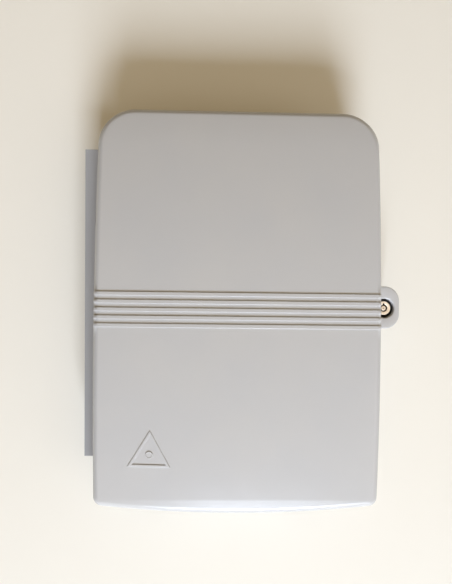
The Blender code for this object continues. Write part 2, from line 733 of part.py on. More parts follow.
# ---------------------------------------------------------------- slack spool and splice tray
def slack_spool():
    inner = SPOOL_RADIUS - 2
    back = FLOOR + GAP
    sides = 40
    rows = [ring(inner, back, sides), ring(SPOOL_RADIUS + 9, back, sides), ring(SPOOL_RADIUS + 9, back + 1.6, sides)]
    rows += [ring(SPOOL_RADIUS, back + 1.6, sides), ring(SPOOL_RADIUS, 24, sides), ring(inner, 24, sides)]
    spool = solid(loft(rows, closed=True), at=(0, 0, SPOOL_Z))
    near = SPOOL_RADIUS - 1
    far = SPOOL_RADIUS + 8
    for sign in (-1, 1):
        reach = sorted((sign * near, sign * far))
        add(spool, block(reach, (21.8, 23.4), (SPOOL_Z - 8, SPOOL_Z + 8)))
        add(spool, block((-8, 8), (21.8, 23.4), [SPOOL_Z + value for value in reach]))
    return spool


def splice_tray():
    inner_x = TRAY_HALF_X - TRAY_WALL
    inner_z = TRAY_HALF_Z - TRAY_WALL
    inner_corner = TRAY_CORNER - TRAY_WALL
    rows = [rounded_rectangle(TRAY_HALF_X, TRAY_HALF_Z, TRAY_CORNER, TRAY_BACK)]
    rows.append(rounded_rectangle(TRAY_HALF_X, TRAY_HALF_Z, TRAY_CORNER, TRAY_FRONT))
    rows.append(rounded_rectangle(inner_x, inner_z, inner_corner, TRAY_FRONT))
    rows.append(rounded_rectangle(inner_x, inner_z, inner_corner, TRAY_BACK + TRAY_WALL))
    tray = solid(loft(rows), at=(0, 0, TRAY_Z))
    for side in (-1, 1):
        lug = sorted((side * (BRACKET_X - 7.5), side * (BRACKET_X - 3)))
        add(tray, block(lug, (PIVOT_DEPTH - 3, PIVOT_DEPTH + 2.9), (PIVOT_Z - 3, PIVOT_Z + 5.5)))
        cut(tray, rod(PIN_HOLE, lug[0] - 1, lug[1] + 1, "right", (0, PIVOT_DEPTH, PIVOT_Z), 16))
        slot = sorted((side * (TRAY_HALF_X - 22), side * (TRAY_HALF_X - 12)))
        cut(tray, block(slot, (TRAY_BACK + 3, TRAY_FRONT + 1), (PIVOT_Z, PIVOT_Z + 7)))
        hub_at = (side * 55, 0, TRAY_Z)
        floor = TRAY_BACK + TRAY_WALL - 0.5
        hub = [ring(22.4, floor, 32), ring(24, floor, 32), ring(24, 39, 32), ring(22.4, 39, 32)]
        add(tray, solid(loft(hub, closed=True), at=hub_at))
    return tray


def splice_comb():
    """A comb for splice protectors, drawn in depth and z and extruded to the right."""
    slots = 6
    pitch = 4.6
    tooth = 1.4
    back = TRAY_BACK + TRAY_WALL + GAP
    front = back + 5.5
    width = slots * pitch + tooth
    section = [(back, -width / 2), (back, width / 2)]
    for i in range(slots, -1, -1):
        low = i * pitch - width / 2
        section += [(front, low + tooth), (front, low)]
        if i:
            section += [(back + 1.2, low), (back + 1.2, low - pitch + tooth)]
    rows = [[(-depth, z, t) for depth, z in section] for t in (-18, 18)]
    return loft(rows)


def tray_bracket():
    front = BRACKET_BACK + 2
    bracket = block((-BRACKET_X, BRACKET_X), (BRACKET_BACK, front), (PIVOT_Z - 7, PIVOT_Z + 7))
    for side in (-1, 1):
        ear = sorted((side * (BRACKET_X - 2.5), side * BRACKET_X))
        add(bracket, block(ear, (BRACKET_BACK + 0.5, PIVOT_DEPTH + 3), (PIVOT_Z - 5, PIVOT_Z + 3)))
        cut(bracket, rod(PIN_HOLE, ear[0] - 1, ear[1] + 1, "right", (0, PIVOT_DEPTH, PIVOT_Z), 16))
        cut(bracket, rod(1.8, BRACKET_BACK - 1, front + 1, "forward", (side * BRACKET_SCREW_X, 0, PIVOT_Z), 12))
    return bracket


def make_tray(tray_axis):
    finish(slack_spool(), "slack_spool", "grey_inner")
    finish(tray_bracket(), "tray_bracket", "grey_inner")
    head = BRACKET_BACK + 2 + GAP
    left = solid(screw(3.1, 2.0, 1.4, 6.0), at=(-BRACKET_SCREW_X, head, PIVOT_Z))
    finish(left, "bracket_screw_left", "steel")
    another(left, "bracket_screw_right", (BRACKET_SCREW_X, head, PIVOT_Z))
    start = BRACKET_X - 8.2
    head = BRACKET_X + GAP
    rows = [ring(PIN_RADIUS, start, 16), ring(PIN_RADIUS, head, 16), ring(2.6, head, 16), ring(2.6, head + 1.5, 16)]
    right = solid(loft(rows), "right", (0, PIVOT_DEPTH, PIVOT_Z))
    finish(right, "tray_pin_right", "steel")
    another(right, "tray_pin_left", (0, PIVOT_DEPTH, PIVOT_Z), math.pi)

    finish(splice_tray(), "splice_tray", "white_inner", tray_axis)
    upper = finish(solid(splice_comb(), "right", (0, 0, TRAY_Z + 27)), "splice_comb_upper", "black", tray_axis)
    lower = another(upper, "splice_comb_lower", (0, 0, TRAY_Z - 27))
    finish(lower, "splice_comb_lower", "black", tray_axis)
    lid_back = TRAY_FRONT + GAP
    lid = [rounded_rectangle(TRAY_HALF_X - 0.6, TRAY_HALF_Z - 0.6, TRAY_CORNER, t) for t in (lid_back, lid_back + 1.5)]
    finish(solid(loft(lid), at=(0, 0, TRAY_Z)), "tray_lid", "clear_lid", tray_axis)


# ---------------------------------------------------------------- the box
def make_hinge_pins():
    rows = [ring(PIN_RADIUS - 0.3, -PIN_HALF, 16), ring(PIN_RADIUS, -PIN_HALF + 0.4, 16)]
    rows += [ring(PIN_RADIUS, PIN_HALF - 0.4, 16), ring(PIN_RADIUS - 0.3, PIN_HALF, 16)]
    upper_z, lower_z = KNUCKLE_ZS
    upper = solid(loft(rows), "up", (HINGE_X, HINGE_DEPTH, upper_z))
    finish(upper, "hinge_pin_upper", "steel")
    another(upper, "hinge_pin_lower", (HINGE_X, HINGE_DEPTH, lower_z))


for old in list(bpy.data.objects):
    bpy.data.objects.remove(old)

MATERIALS = {
    "grey_cover": material("grey_cover", (0.56, 0.55, 0.53), 0.35),
    "grey_base": material("grey_base", (0.48, 0.48, 0.48), 0.4),
    "grey_rail": material("grey_rail", (0.45, 0.46, 0.48), 0.4),
    "grey_inner": material("grey_inner", (0.6, 0.6, 0.58), 0.45),
    "white_inner": material("white_inner", (0.8, 0.8, 0.77), 0.4),
    "black": material("black", (0.02, 0.02, 0.02), 0.45),
    "rubber": material("rubber", (0.015, 0.015, 0.015), 0.7),
    "brass": material("brass", (0.75, 0.62, 0.38), 0.3, 1.0),
    "steel": material("steel", (0.6, 0.6, 0.6), 0.3, 1.0),
    "green": material("green", (0.03, 0.3, 0.12), 0.4),
    "clear_cap": material("clear_cap", (0.85, 0.85, 0.82), 0.3, 0.0, 0.6),
    "clear_lid": material("clear_lid", (0.85, 0.88, 0.9), 0.1, 0.0, 0.35),
}

cover_hinge = pivot("cover_hinge", (HINGE_X, HINGE_DEPTH, 0))
lock_spindle = pivot("lock_spindle", (LOCK_X, PARTING, LOCK_Z))
tray_hinge = pivot("tray_hinge", (0, PIVOT_DEPTH, PIVOT_Z))

finish(base_shell(), "base_shell", "grey_base")
finish(hinge_rail(), "hinge_rail", "grey_rail")
finish(rim_gasket(), "rim_gasket", "rubber")
make_hinge_pins()
finish(cover_shell(), "cover_shell", "grey_cover", cover_hinge)
make_lock(cover_hinge, lock_spindle)
make_entries()
make_clamps()
make_adapters()
make_tray(tray_hinge)
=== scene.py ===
"""Looks of the fibre termination box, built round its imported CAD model.

The box's sizes are in millimetres. As in the part's own source, a depth is measured forward
from the wall, so that y = -depth, and a place is written (x, depth, z). The room and its
lights are in metres, as Blender has them, with -y forward.
"""

import json
import math

import bmesh
import bpy
from mathutils import Matrix, Vector


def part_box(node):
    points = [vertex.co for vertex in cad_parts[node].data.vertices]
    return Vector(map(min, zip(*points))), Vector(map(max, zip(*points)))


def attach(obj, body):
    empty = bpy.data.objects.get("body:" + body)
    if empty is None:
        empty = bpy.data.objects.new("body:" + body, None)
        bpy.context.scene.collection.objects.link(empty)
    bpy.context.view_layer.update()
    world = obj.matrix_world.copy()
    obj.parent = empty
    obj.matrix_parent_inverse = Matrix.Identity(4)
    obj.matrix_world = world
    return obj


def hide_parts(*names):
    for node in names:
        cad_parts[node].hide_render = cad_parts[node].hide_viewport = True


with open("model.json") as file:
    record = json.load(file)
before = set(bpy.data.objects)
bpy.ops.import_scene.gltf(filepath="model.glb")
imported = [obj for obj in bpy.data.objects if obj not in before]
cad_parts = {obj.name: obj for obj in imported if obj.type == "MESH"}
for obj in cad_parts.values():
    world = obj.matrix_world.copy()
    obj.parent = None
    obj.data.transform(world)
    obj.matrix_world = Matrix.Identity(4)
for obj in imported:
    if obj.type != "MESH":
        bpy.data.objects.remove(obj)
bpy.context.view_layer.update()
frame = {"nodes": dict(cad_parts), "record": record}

MM = 0.001
ROUND = 72                   # flats on a visible round piece, a multiple of 6 for hexagons
SMOOTH_BELOW = 35            # degrees between faces that are shaded as one
SHARP_ABOVE = 32             # degrees between a CAD piece's faces whose edge is rounded


def cad_box(node):
    """Lowest and highest corner of a CAD node in millimetres, as (x, depth, z)."""
    low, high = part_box(node)
    return (low.x / MM, -high.y / MM, low.z / MM), (high.x / MM, -low.y / MM, high.z / MM)


def cad_middle(node):
    low, high = cad_box(node)
    return [(a + b) / 2 for a, b in zip(low, high)]


# Cover: its outline, arched front, ribs and raised triangle
HALF_WIDTH = 118.0
HALF_HEIGHT = 168.5
CROWN = 80.0                 # depth of the arched front at its middle
ARCH_DROP = 10.0             # how much less deep it is at its top and bottom
BOTTOM_BOW = 7.0             # how much higher the bottom edge is at its ends
TOP_CORNER = 31.0
BOTTOM_CORNER = 8.0
EDGE_RADIUS = 6.0
COVER_WALL = 2.4
PARTING = 46.0               # depth where the cover meets the base
BAND_Z = 0.5                 # height of the middle rib
RIB_COUNT = 5
RIB_PITCH = 6.4
RIB_WIDTH = 3.5
RIB_HEIGHT = 0.9
RIB_FLANK = 0.5
MARK_X = -71.3
MARK_Z = -117.7
MARK_RADIUS = 20.3           # from its middle to a corner
MARK_CORNER = 0.3
MARK_LINE = 2.2
MARK_TILT = math.radians(-1.6)         # the mark isn't quite level
MARK_HEIGHT = 0.6
MARK_DOT = 3.2
MARK_ROOT = 0.5              # how far the mark reaches into the front

# Lock and its ear
LOCK_X, _, LOCK_Z = cad_middle("lock_barrel")
LOCK_FRONT = cad_box("lock_barrel")[1][1]
EAR_RIGHT = cad_box("cover_shell")[1][0]
EAR_Z = 4.0
EAR_HALF = 18.5
EAR_CORNER = 12.7
EAR_DEPTH = 50.0
EAR_SIDES = 96
WELL_RADIUS = 8.4
WELL_FLOOR = 43.0
BARREL_HOLE = 6.3
NUT_POCKET = 9.6
FLANGE_GAP = 0.3             # between the barrel's flange and the well's floor

# Hinge
HINGE_X, HINGE_DEPTH, _ = cad_middle("hinge_pin_upper")
KNUCKLE_ZS = [cad_middle(pin)[2] for pin in ("hinge_pin_upper", "hinge_pin_lower")]
KNUCKLE_HALF = 12.0
KNUCKLE_RADIUS = 2.6
PIN_HOLE = 1.6

# Cable glands
GLAND_X = cad_middle("gland_body_right")[0]
GLAND_DEPTH = cad_middle("gland_body_right")[1]
PAD_LOW = cad_box("gland_body_right")[0][2] + 9.5     # underside of the pads on the bottom wall
PAD_GAP = 0.3                # between the gland's collar and its pad
CAP_FLUTES = 12

# Room, in metres
WALL_Y = 0.0006              # clear of the box's back
THROUGH_WALL = 0.002         # a shorter ray goes through the wall
FLOOR_Z = -3.3

AXES = {
    "up": Matrix.Identity(4),
    "forward": Matrix(((1, 0, 0, 0), (0, 0, -1, 0), (0, 1, 0, 0), (0, 0, 0, 1))),
}


# ---------------------------------------------------------------- rows of points and skins
def ring(radius, t, sides=ROUND):
    angles = [2 * math.pi * i / sides for i in range(sides)]
    return [(radius * math.cos(a), radius * math.sin(a), t) for a in angles]


def nut_ring(across, corner_radius, t):
    """A hexagon across its flats whose corners are turned down to corner_radius."""
    points = []
    for i in range(ROUND):
        angle = 2 * math.pi * i / ROUND
        flat = across / 2 / math.cos(angle % (math.pi / 3) - math.pi / 6)
        radius = min(flat, corner_radius)
        points.append((radius * math.cos(angle), radius * math.sin(angle), t))
    return points


def fluted_ring(radius, groove, t):
    """A ring with shallow grooves round it, for the fingers."""
    points = []
    for i in range(ROUND):
        angle = 2 * math.pi * i / ROUND
        local = radius - groove * max(0.0, math.cos(CAP_FLUTES * angle)) ** 2
        points.append((local * math.cos(angle), local * math.sin(angle), t))
    return points


def quarter(radius, steps):
    """(in, drop) of a rounded edge, from the start of its curve to its end."""
    angles = [math.pi / 2 * i / steps for i in range(steps + 1)]
    return [(radius * (1 - math.cos(a)), radius * (1 - math.sin(a))) for a in angles]


def flat_cap(shape, row):
    shape.faces.new(row)


def ladder_cap(shape, row):
    """Close a row that is its own mirror image with level strips from side to side."""
    last = len(row) - 1
    for i in range(len(row) // 2 - 1):
        shape.faces.new((row[i], row[i + 1], row[last - i - 1], row[last - i]))


def loft(rows, closed=False, cap=flat_cap):
    """A skin over rows of points: capped at both ends, or closed on itself as a ring is."""
    shape = bmesh.new()
    made = [[shape.verts.new(point) for point in row] for row in rows]
    following = made[1:] + made[:1] if closed else made[1:]
    for row, above in zip(made, following):
        for i in range(len(row)):
            j = (i + 1) % len(row)
            shape.faces.new((row[i], row[j], above[j], above[i]))
    if not closed:
        cap(shape, made[0])
        cap(shape, made[-1])
    bmesh.ops.recalc_face_normals(shape, faces=shape.faces)
    return shape


def solid(shape, axis="forward", at=(0, 0, 0)):
    """A mesh of the shape, in metres and in its place."""
    mesh = bpy.data.meshes.new("solid")
    shape.to_mesh(mesh)
    shape.free()
    x, depth, z = at
    place = Matrix.Translation(Vector((x, -depth, z)) * MM)
    mesh.transform(place @ Matrix.Scale(MM, 4) @ AXES[axis])
    return mesh


def joined(*meshes):
    shape = bmesh.new()
    for mesh in meshes:
        shape.from_mesh(mesh)
        bpy.data.meshes.remove(mesh)
    mesh = bpy.data.meshes.new("joined")
    shape.to_mesh(mesh)
    shape.free()
    return mesh


def piece(name, mesh, material, body, slot, *nodes):
    """A finished piece that rides on a body and stands for CAD nodes."""
    made = bpy.data.objects.new(name, mesh)
    mesh.name = name
    bpy.context.scene.collection.objects.link(made)
    mesh.materials.clear()
    mesh.materials.append(material)
    mesh.shade_smooth()
    mesh.set_sharp_from_angle(angle=math.radians(SMOOTH_BELOW))
    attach(made, body)
    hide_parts(*nodes)


# ---------------------------------------------------------------- materials
class Nodes:
    """A short way to write a node tree."""

    def __init__(self, tree):
        self.tree = tree

    def add(self, kind, **values):
        node = self.tree.nodes.new(kind)
        for name, value in values.items():
            setattr(node, name, value)
        return node

    def link(self, output, socket):
        self.tree.links.new(output, socket)

    def split(self, vector):
        """The x, y and z outputs of a vector."""
        node = self.add("ShaderNodeSeparateXYZ")
        self.link(vector, node.inputs["Vector"])
        return node.outputs

    def ramp(self, value, low, high, to_low=0.0, to_high=1.0):
        """A number that goes from to_low to to_high while the value goes from low to high."""
        node = self.add("ShaderNodeMapRange")
        node.inputs["From Min"].default_value = low
        node.inputs["From Max"].default_value = high
        node.inputs["To Min"].default_value = to_low
        node.inputs["To Max"].default_value = to_high
        self.link(value, node.inputs["Value"])
        return node.outputs["Result"]

    def blend(self, share, first, second):
        """A colour between two, each a colour or another node's output."""
        node = self.add("ShaderNodeMix", data_type="RGBA")
        self.link(share, node.inputs["Factor"])
        for source, socket in ((first, node.inputs["A"]), (second, node.inputs["B"])):
            if isinstance(source, tuple):
                socket.default_value = (*source, 1.0)
            else:
                self.link(source, socket)
        return node.outputs["Result"]


class Finish(Nodes):
    """A material, written as what varies over it."""

    def __init__(self, name):
        self.material = bpy.data.materials.new(name)
        self.material.use_nodes = True
        super().__init__(self.material.node_tree)
        self.shader = self.tree.nodes["Principled BSDF"]
        self.position = self.add("ShaderNodeTexCoord").outputs["Object"]

    def stretched(self, x, y, z):
        """The position, with its grain drawn out along an axis that has a small number."""
        mapping = self.add("ShaderNodeMapping")
        mapping.inputs["Scale"].default_value = (x, y, z)
        self.link(self.position, mapping.inputs["Vector"])
        return mapping.outputs["Vector"]

    def noise(self, per_metre, detail=3.0, position=None):
        node = self.add("ShaderNodeTexNoise")
        node.inputs["Scale"].default_value = per_metre
        node.inputs["Detail"].default_value = detail
        self.link(position or self.position, node.inputs["Vector"])
        return node.outputs["Fac"]

    def between(self, cloud, low, high):
        """A number that goes from low to high over the middle of a noise."""
        return self.ramp(cloud, 0.3, 0.7, low, high)

    def depth(self, low, high):
        """A number that goes from 0 to 1 between two depths in front of the wall."""
        return self.ramp(self.split(self.position)["Y"], -low * MM, -high * MM)

    def color(self, output):
        self.link(output, self.shader.inputs["Base Color"])

    def roughness(self, output):
        self.link(output, self.shader.inputs["Roughness"])

    def bump(self, height, distance, strength):
        node = self.add("ShaderNodeBump")
        node.inputs["Distance"].default_value = distance * MM
        node.inputs["Strength"].default_value = strength
        self.link(height, node.inputs["Height"])
        self.link(node.outputs["Normal"], self.shader.inputs["Normal"])

    def fixed(self, **values):
        for name, value in values.items():
            self.shader.inputs[name.replace("_", " ").capitalize()].default_value = value


def shade(color, factor):
    return tuple(min(1.0, channel * factor) for channel in color)


def moulded(name, color, rough, tint=(1.0, 1.0, 1.0), spread=0.03, grain=0.02,
            grain_per_metre=1400):
    """Injection-moulded plastic: cloudy colour, uneven gloss and a fine spark-eroded texture.

    The colour drifts toward the tinted one by the share in spread.
    """
    nodes = Finish(name)
    cloudy = nodes.between(nodes.noise(22.0), 0.0, 1.0)
    tinted = tuple(a * b for a, b in zip(color, tint))
    base = nodes.blend(cloudy, shade(color, 1 + spread), shade(tinted, 1 - spread))
    speck = nodes.between(nodes.noise(grain_per_metre * 0.7, 2.0), 0.0, 0.35)
    nodes.color(nodes.blend(speck, base, shade(color, 1 - 2.5 * spread)))
    nodes.roughness(nodes.between(nodes.noise(70.0, 4.0), rough - 0.02, rough + 0.02))
    nodes.bump(nodes.noise(grain_per_metre, 2.0), grain, 0.35)
    return nodes


def metal(name, color, worn, rough, along=(1.0, 1.0, 1.0), shade_painted_below=None):
    """Metal whose fine scratches run along the axis with the small number.

    Below the depth given last it is painted almost black: painted shade for the dark inside of the
    lock's bore and keyway.
    """
    nodes = Finish(name)
    drawn = nodes.noise(900.0, 5.0, nodes.stretched(*along))
    patches = nodes.between(nodes.noise(260.0, 4.0), 0.0, 1.0)
    base = nodes.blend(patches, color, worn)
    if shade_painted_below is not None:
        # painted shade: the colour turns almost black below that depth
        unshaded_share = nodes.depth(shade_painted_below - 0.5, shade_painted_below)
        base = nodes.blend(unshaded_share, shade(worn, 0.05), base)
    nodes.color(base)
    nodes.roughness(nodes.between(drawn, rough - 0.08, rough + 0.12))
    nodes.bump(drawn, 0.03, 0.3)
    nodes.fixed(metallic=1.0)
    return nodes


def make_materials():
    """A material for each slot of the part."""
    made = {
        "grey_cover": moulded("cover_plastic", (0.455, 0.446, 0.438), 0.23, (0.985, 0.995, 1.015),
                              spread=0.012),
        "grey_base": moulded("base_plastic", (0.42, 0.42, 0.415), 0.34, (0.98, 0.99, 1.01),
                             spread=0.015),
        # Darker than the base's plastic: partly the rail's own tone, partly painted shade for the
        # cover's shadow across it.
        "grey_rail": moulded("rail_plastic_and_painted_shade", (0.31, 0.31, 0.318), 0.34, (0.98, 0.99, 1.01),
                             spread=0.015),
        "grey_inner": moulded("inner_plastic", (0.58, 0.58, 0.56), 0.48),
        "white_inner": moulded("tray_plastic", (0.66, 0.66, 0.63), 0.42),
        "black": moulded("black_nylon", (0.022, 0.022, 0.023), 0.46, spread=0.12, grain=0.04),
        "rubber": moulded("rubber", (0.016, 0.016, 0.016), 0.72, spread=0.2, grain=0.06,
                          grain_per_metre=2200),
        # The brass is painted almost black just behind the lock's front, as shade inside the bore
        # and keyway.
        "brass": metal("lock_brass", (0.95, 0.84, 0.71), (0.84, 0.71, 0.55), 0.45,
                       shade_painted_below=LOCK_FRONT - 0.35),
        "steel": metal("zinc_steel", (0.62, 0.63, 0.65), (0.50, 0.49, 0.46), 0.36,
                       along=(1.0, 1.0, 0.15)),
        "green": moulded("adapter_plastic", (0.025, 0.30, 0.115), 0.36, (0.9, 1.0, 1.1),
                         spread=0.06),
        "clear_cap": moulded("milky_plastic", (0.86, 0.86, 0.83), 0.34, spread=0.015),
        "clear_lid": moulded("clear_plastic", (0.86, 0.90, 0.92), 0.12, spread=0.01, grain=0.004),
    }
    made["brass"].fixed(metallic=0.55)
    made["clear_cap"].fixed(alpha=0.82)
    made["clear_lid"].fixed(alpha=0.30)
    made["rubber"].shader.inputs["Specular IOR Level"].default_value = 0.3
    return {slot: nodes.material for slot, nodes in made.items()}


# ---------------------------------------------------------------- cover
def arch(z):
    return CROWN - ARCH_DROP * (z / HALF_HEIGHT) ** 2


def rib_middles():
    return [BAND_Z + RIB_PITCH * ((RIB_COUNT - 1) / 2 - i) for i in range(RIB_COUNT)]


def ribbed(z):
    """Depth of the front, with the rounded ribs."""
    for middle in rib_middles():
        share = (RIB_WIDTH / 2 - abs(z - middle)) / RIB_FLANK
        if share > 0:
            share = min(1.0, share)
            return arch(z) + RIB_HEIGHT * share * share * (3 - 2 * share)
    return arch(z)


def rib_heights():
    """Heights at which the ribs need a row, from top to bottom."""
    flank = [RIB_WIDTH / 2 - RIB_FLANK * i / 6 for i in range(7)]
    offsets = flank + [0.0] + [-offset for offset in reversed(flank)]
    return [middle + offset for middle in rib_middles() for offset in offsets]


def cover_heights():
    band = rib_heights()
    high = HALF_HEIGHT - TOP_CORNER
    low = -HALF_HEIGHT + 2.5 * BOTTOM_CORNER
    above = [high + (band[0] - high) * i / 16 for i in range(1, 16)]
    below = [band[-1] + (low - band[-1]) * i / 18 for i in range(1, 18)]
    return above + band + below


def bottom_edge(x):
    return -HALF_HEIGHT + BOTTOM_BOW * (x / HALF_WIDTH) ** 2


def bottom_slope(x):
    return math.atan(2 * BOTTOM_BOW * x / HALF_WIDTH ** 2)


def half_outline(inset, side_zs):
    """Right half of the cover's outline moved in by inset, as (x, z) from top to bottom."""
    points = []
    for step in range(25):
        angle = math.pi / 2 * (1 - step / 24)
        radius = TOP_CORNER - inset
        points.append((HALF_WIDTH - TOP_CORNER + radius * math.cos(angle),
                       HALF_HEIGHT - TOP_CORNER + radius * math.sin(angle)))
    points += [(HALF_WIDTH - inset, z) for z in side_zs]
    low_x = HALF_WIDTH - BOTTOM_CORNER
    slope = bottom_slope(low_x)
    tangent_x = low_x + BOTTOM_CORNER * math.sin(slope)
    low_z = bottom_edge(tangent_x) + BOTTOM_CORNER * math.cos(slope)
    for step in range(13):
        angle = -(math.pi / 2 - slope) * step / 12
        radius = BOTTOM_CORNER - inset
        points.append((low_x + radius * math.cos(angle), low_z + radius * math.sin(angle)))
    for step in range(1, 20):
        x = tangent_x * (1 - step / 20) + 0.5 * step / 20
        slope = bottom_slope(x)
        points.append((x - inset * math.sin(slope), bottom_edge(x) + inset * math.cos(slope)))
    return points


def outline(inset, depth_at, side_zs):
    """The whole outline as a row of points, each at the depth that depth_at gives for its z."""
    right = [(x, z, depth_at(z)) for x, z in half_outline(inset, side_zs)]
    left = [(-x, z, depth) for x, z, depth in reversed(right)]
    return right + left


def cover_skin():
    """The moulded shell, with a rounded front edge, a softened rim and the ribs."""
    zs = cover_heights()
    rim = 0.4
    rows = [outline(rim + COVER_WALL * 0.3, lambda z: PARTING, zs)]
    for inset, drop in reversed(quarter(rim, 3)):
        rows.append(outline(inset, lambda z, drop=drop: PARTING + drop, zs))
    for inset, drop in quarter(EDGE_RADIUS, 10):
        rows.append(outline(inset, lambda z, drop=drop: ribbed(z) - drop, zs))
    inner = [outline(COVER_WALL, lambda z: PARTING, zs)]
    for inset, drop in quarter(EDGE_RADIUS - COVER_WALL, 4):
        behind = COVER_WALL + drop
        inner.append(outline(COVER_WALL + inset, lambda z, behind=behind: arch(z) - behind, zs))
    return solid(loft(list(reversed(rows)) + inner, cap=ladder_cap))


def triangle_row(radius, rise):
    """A triangle on the arched front, not quite level, its corners rounded a little."""
    points = []
    for side in range(3):
        toward = math.pi / 2 + MARK_TILT + 2 * math.pi * side / 3
        reach = radius - 2 * MARK_CORNER
        for step in range(7):
            angle = toward - math.pi / 3 + 2 * math.pi / 3 * step / 6
            x = MARK_X + reach * math.cos(toward) + MARK_CORNER * math.cos(angle)
            z = MARK_Z + reach * math.sin(toward) + MARK_CORNER * math.sin(angle)
            points.append((x, z, arch(z) + rise))
    return points


def raised_triangle():
    """The mark's raised border, with softened edges."""
    inner = MARK_RADIUS - 2 * MARK_LINE
    soft = quarter(0.22, 3)
    rows = [triangle_row(MARK_RADIUS, -MARK_ROOT)]
    rows += [triangle_row(MARK_RADIUS - 2 * inset, MARK_HEIGHT - drop) for inset, drop in soft]
    rows += [triangle_row(inner + 2 * inset, MARK_HEIGHT - drop) for inset, drop in reversed(soft)]
    rows.append(triangle_row(inner, -MARK_ROOT))
    return solid(loft(rows, closed=True))


def raised_dot():
    """A plain round boss in the triangle's middle, a little sunk inside its rim."""
    low = MARK_HEIGHT - 0.2
    profile = [(MARK_DOT, -MARK_ROOT), (MARK_DOT, low), (MARK_DOT - 0.2, MARK_HEIGHT)]
    profile += [(MARK_DOT - 1.0, MARK_HEIGHT), (MARK_DOT - 1.2, low)]
    rows = []
    for radius, rise in profile:
        circle = [(MARK_X + x, MARK_Z + z) for x, z, _ in ring(radius, 0, 36)]
        rows.append([(x, z, arch(z) + rise) for x, z in circle])
    return solid(loft(rows))


def ear_row(inset, left_x, depth):
    """The ear's outline by angle round the lock: square at left_x, round at its outer corners.

    The reach of each angle is found by halving.
    """
    half = EAR_HALF - inset
    right = EAR_RIGHT - inset
    corner = EAR_CORNER - inset
    above = LOCK_Z - EAR_Z
    points = []
    for i in range(EAR_SIDES):
        angle = 2 * math.pi * i / EAR_SIDES
        along = (math.cos(angle), math.sin(angle))
        low, high = 0.0, 60.0
        for _ in range(24):
            reach = (low + high) / 2
            x = LOCK_X + reach * along[0]
            z = abs(above + reach * along[1])
            over_x = x - (right - corner)
            over_z = z - (half - corner)
            in_corner = over_x > 0 and over_z > 0
            outside = math.hypot(over_x, over_z) > corner if in_corner else x > right or z > half
            if outside or x < left_x:
                high = reach
            else:
                low = reach
        points.append((LOCK_X + high * along[0], LOCK_Z + high * along[1], depth))
    return points


def lock_ring(radius, depth):
    return [(LOCK_X + x, LOCK_Z + z, depth) for x, z, _ in ring(radius, 0, EAR_SIDES)]


def cover_ear():
    """The ear on the cover's side, with the chamfered well that the lock stands in."""
    left_x = HALF_WIDTH - 1.6
    under = WELL_FLOOR - 2
    rows = [ear_row(0.3, left_x, PARTING), ear_row(0.0, left_x, PARTING + 0.3)]
    rows += [ear_row(inset, left_x, EAR_DEPTH - drop) for inset, drop in quarter(1.0, 6)]
    well = [(WELL_RADIUS + 0.9, EAR_DEPTH), (WELL_RADIUS + 0.7, EAR_DEPTH - 0.05)]
    well += [(WELL_RADIUS + 0.1, EAR_DEPTH - 0.7), (WELL_RADIUS, EAR_DEPTH - 0.9)]
    well += [(WELL_RADIUS, WELL_FLOOR + 0.4), (WELL_RADIUS - 0.4, WELL_FLOOR)]
    well += [(BARREL_HOLE, WELL_FLOOR), (BARREL_HOLE, under), (NUT_POCKET - 0.4, under)]
    well += [(NUT_POCKET, under + 0.4), (NUT_POCKET, PARTING)]
    rows += [lock_ring(radius, depth) for radius, depth in well]
    return solid(loft(rows, closed=True))


def box_rows(xs, zs, depths, soft):
    """A block with rounded edges, as rows from its back to its front."""
    (x0, x1), (z0, z1), (d0, d1) = xs, zs, depths
    rows = []
    sections = [(inset, d0 + drop) for inset, drop in reversed(quarter(soft, 3))]
    sections += [(inset, d1 - drop) for inset, drop in quarter(soft, 3)]
    for inset, depth in sections:
        corner = soft * 1.01 - inset
        row = []
        for turn in range(4):
            u = x1 - inset - corner if turn in (0, 3) else x0 + inset + corner
            v = z1 - inset - corner if turn in (0, 1) else z0 + inset + corner
            for step in range(4):
                angle = math.pi / 2 * (turn + step / 3)
                row.append((u + corner * math.cos(angle), v + corner * math.sin(angle), depth))
        rows.append(row)
    return rows


def knuckle(z):
    """A hinge knuckle with its pin hole, and the web that joins it to the cover."""
    low = z - KNUCKLE_HALF
    high = z + KNUCKLE_HALF
    soft = 0.3
    rows = [ring(PIN_HOLE, low), ring(KNUCKLE_RADIUS - soft, low), ring(KNUCKLE_RADIUS, low + soft)]
    rows += [ring(KNUCKLE_RADIUS, high - soft), ring(KNUCKLE_RADIUS - soft, high)]
    rows.append(ring(PIN_HOLE, high))
    tube = solid(loft(rows, closed=True), "up", (HINGE_X, HINGE_DEPTH, 0))
    xs = (HINGE_X + PIN_HOLE + 0.1, 1 - HALF_WIDTH)
    web = box_rows(xs, (low + 0.5, high - 0.5), (PARTING, PARTING + 4), 0.4)
    return [tube, solid(loft(web))]


def make_cover(materials):
    meshes = [cover_skin(), raised_triangle(), raised_dot(), cover_ear()]
    for z in KNUCKLE_ZS:
        meshes += knuckle(z)
    piece("cover_moulding", joined(*meshes), materials["grey_cover"],
          "cover", "grey_cover", "cover_shell")


# ---------------------------------------------------------------- lock
def keyed(point):
    """Moves a point of the barrel's bore out where the key's rib enters, at the top."""
    x, z, t = point
    if z > 0 and abs(x) < 0.8:
        return (x, 4.4, t)
    return point


